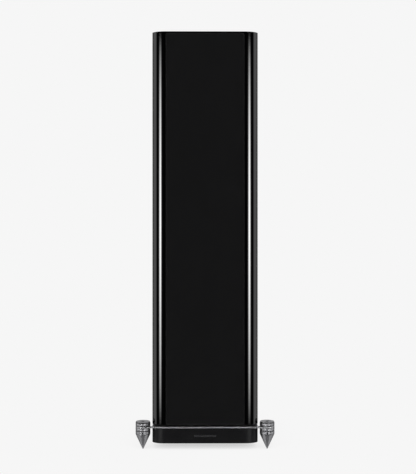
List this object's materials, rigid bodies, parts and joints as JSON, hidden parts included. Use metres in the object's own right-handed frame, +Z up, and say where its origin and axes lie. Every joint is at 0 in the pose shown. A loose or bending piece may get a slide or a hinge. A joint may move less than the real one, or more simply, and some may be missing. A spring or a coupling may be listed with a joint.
{
  "type": "floorstanding speaker",
  "caption": "Tall gloss black loudspeaker column with a full-height cloth grille, standing on a plinth block and outrigger feet with turned metal spikes.",
  "frame": {"origin": "on the floor, under the middle of the bounding box, where the spike tips stand", "axes": "+Z up; the grille and drivers face -Y; +X is to the right seen from the front"},
  "size_m": [0.3966, 0.44, 1.188],
  "materials": {
    "black_lacquer": "high-gloss black lacquer, polished, over MDF",
    "satin_black": "satin black lacquer over MDF",
    "raw_mdf": "bare MDF, sawn edges",
    "grille_cloth": "fine black acoustic knit, stretched",
    "black_plastic": "fine-textured black moulding",
    "satin_nickel": "turned steel, satin nickel plate",
    "cast_alloy": "die casting, black powder coat",
    "cone_paper": "coated fibre, matt black",
    "rubber": "butyl rubber, matt",
    "spider_cloth": "resin-treated corrugated cotton",
    "coil_wire": "enamelled wire on an aluminium former",
    "ferrite": "sintered ferrite between zinc-plated steel plates",
    "silk": "coated silk",
    "gold_plate": "gold-plated brass, bright",
    "red_plastic": "red insulating sleeve, gloss",
    "terminal_black": "black insulating sleeve, gloss",
    "circuit_board": "green solder mask",
    "copper_wire": "enamelled copper winding"
  },
  "bodies": {
    "cabinet": {"side_panel_left": "black_lacquer", "side_panel_right": "black_lacquer", "top_panel": "black_lacquer", "back_panel": "black_lacquer", "front_baffle": "black_lacquer", "base_panel": "raw_mdf", "midrange_chamber": "raw_mdf", "window_brace": "raw_mdf", "port_tube": "black_plastic", "plinth_spacer": "black_plastic", "tweeter_faceplate": "black_plastic", "terminal_plate": "black_plastic", "outrigger_plate": "satin_nickel", "plinth_block": "satin_black", "front_left_foot_bolt": "satin_nickel", "front_left_clamp_nut": "satin_nickel", "front_right_foot_bolt": "satin_nickel", "front_right_clamp_nut": "satin_nickel", "back_left_foot_bolt": "satin_nickel", "back_left_clamp_nut": "satin_nickel", "back_right_foot_bolt": "satin_nickel", "back_right_clamp_nut": "satin_nickel", "midrange_basket": "cast_alloy", "midrange_surround": "rubber", "midrange_spider": "spider_cloth", "midrange_magnet": "ferrite", "upper_bass_basket": "cast_alloy", "upper_bass_surround": "rubber", "upper_bass_spider": "spider_cloth", "upper_bass_magnet": "ferrite", "lower_bass_basket": "cast_alloy", "lower_bass_surround": "rubber", "lower_bass_spider": "spider_cloth", "lower_bass_magnet": "ferrite", "tweeter_magnet": "ferrite", "terminal_stem_positive": "gold_plate", "terminal_stem_negative": "gold_plate", "crossover_board": "circuit_board", "crossover_inductor": "copper_wire"},
    "grille": {"grille_frame": "black_plastic", "grille_cloth": "grille_cloth"},
    "tweeter_diaphragm": {"tweeter_dome": "silk"},
    "midrange_diaphragm": {"midrange_cone": "cone_paper", "midrange_voice_coil": "coil_wire"},
    "upper_bass_diaphragm": {"upper_bass_cone": "cone_paper", "upper_bass_voice_coil": "coil_wire"},
    "lower_bass_diaphragm": {"lower_bass_cone": "cone_paper", "lower_bass_voice_coil": "coil_wire"},
    "front_left_spike": {"front_left_spike": "satin_nickel"},
    "front_left_wheel": {"front_left_levelling_wheel": "satin_nickel"},
    "front_right_spike": {"front_right_spike": "satin_nickel"},
    "front_right_wheel": {"front_right_levelling_wheel": "satin_nickel"},
    "back_left_spike": {"back_left_spike": "satin_nickel"},
    "back_left_wheel": {"back_left_levelling_wheel": "satin_nickel"},
    "back_right_spike": {"back_right_spike": "satin_nickel"},
    "back_right_wheel": {"back_right_levelling_wheel": "satin_nickel"},
    "positive_washer": {"terminal_washer_positive": "gold_plate"},
    "positive_knob": {"terminal_knob_positive": "red_plastic"},
    "negative_washer": {"terminal_washer_negative": "gold_plate"},
    "negative_knob": {"terminal_knob_negative": "terminal_black"}
  },
  "joints": [
    {"name": "grille_pull", "type": "slide", "parent": "cabinet", "child": "grille", "axis": [0, -1, 0], "range_m": [0, 0.08]},
    {"name": "midrange_stroke", "type": "slide", "parent": "cabinet", "child": "midrange_diaphragm", "axis": [0, -1, 0], "range_m": [-0.003, 0.003], "stiffness_N_per_m": 1500, "deforming": ["midrange_surround", "midrange_spider"]},
    {"name": "upper_bass_stroke", "type": "slide", "parent": "cabinet", "child": "upper_bass_diaphragm", "axis": [0, -1, 0], "range_m": [-0.006, 0.006], "stiffness_N_per_m": 1500, "deforming": ["upper_bass_surround", "upper_bass_spider"]},
    {"name": "lower_bass_stroke", "type": "slide", "parent": "cabinet", "child": "lower_bass_diaphragm", "axis": [0, -1, 0], "range_m": [-0.006, 0.006], "stiffness_N_per_m": 1500, "deforming": ["lower_bass_surround", "lower_bass_spider"]},
    {"name": "tweeter_stroke", "type": "slide", "parent": "cabinet", "child": "tweeter_diaphragm", "axis": [0, -1, 0], "range_m": [-0.0004, 0.0004], "stiffness_N_per_m": 1500},
    {"name": "front_left_spike_travel", "type": "slide", "parent": "cabinet", "child": "front_left_spike", "axis": [0, 0, -1], "range_m": [0, 0.012]},
    {"name": "front_left_wheel_turn", "type": "hinge", "parent": "front_left_spike", "child": "front_left_wheel", "pos_m": [-0.1773, -0.189, 0.0486], "axis": [0, 0, -1], "range_deg": [0, 2880]},
    {"name": "front_right_spike_travel", "type": "slide", "parent": "cabinet", "child": "front_right_spike", "axis": [0, 0, -1], "range_m": [0, 0.012]},
    {"name": "front_right_wheel_turn", "type": "hinge", "parent": "front_right_spike", "child": "front_right_wheel", "pos_m": [0.1773, -0.189, 0.0486], "axis": [0, 0, -1], "range_deg": [0, 2880]},
    {"name": "back_left_spike_travel", "type": "slide", "parent": "cabinet", "child": "back_left_spike", "axis": [0, 0, -1], "range_m": [0, 0.012]},
    {"name": "back_left_wheel_turn", "type": "hinge", "parent": "back_left_spike", "child": "back_left_wheel", "pos_m": [-0.1295, 0.199, 0.0486], "axis": [0, 0, -1], "range_deg": [0, 2880]},
    {"name": "back_right_spike_travel", "type": "slide", "parent": "cabinet", "child": "back_right_spike", "axis": [0, 0, -1], "range_m": [0, 0.012]},
    {"name": "back_right_wheel_turn", "type": "hinge", "parent": "back_right_spike", "child": "back_right_wheel", "pos_m": [0.1295, 0.199, 0.0486], "axis": [0, 0, -1], "range_deg": [0, 2880]},
    {"name": "positive_washer_travel", "type": "slide", "parent": "cabinet", "child": "positive_washer", "axis": [0, 1, 0], "range_m": [0, 0.005]},
    {"name": "positive_knob_turn", "type": "hinge", "parent": "positive_washer", "child": "positive_knob", "pos_m": [-0.019, 0.186, 0.19], "axis": [0, 1, 0], "range_deg": [0, 1800]},
    {"name": "negative_washer_travel", "type": "slide", "parent": "cabinet", "child": "negative_washer", "axis": [0, 1, 0], "range_m": [0, 0.005]},
    {"name": "negative_knob_turn", "type": "hinge", "parent": "negative_washer", "child": "negative_knob", "pos_m": [0.019, 0.186, 0.19], "axis": [0, 1, 0], "range_deg": [0, 1800]}
  ],
  "couplings": [
    {"joint": "front_left_wheel_turn", "follows": "front_left_spike_travel", "rad_per_m": 4188.8},
    {"joint": "front_right_wheel_turn", "follows": "front_right_spike_travel", "rad_per_m": 4188.8},
    {"joint": "back_left_wheel_turn", "follows": "back_left_spike_travel", "rad_per_m": 4188.8},
    {"joint": "back_right_wheel_turn", "follows": "back_right_spike_travel", "rad_per_m": 4188.8},
    {"joint": "positive_knob_turn", "follows": "positive_washer_travel", "rad_per_m": 6283.2},
    {"joint": "negative_knob_turn", "follows": "negative_washer_travel", "rad_per_m": 6283.2}
  ]
}
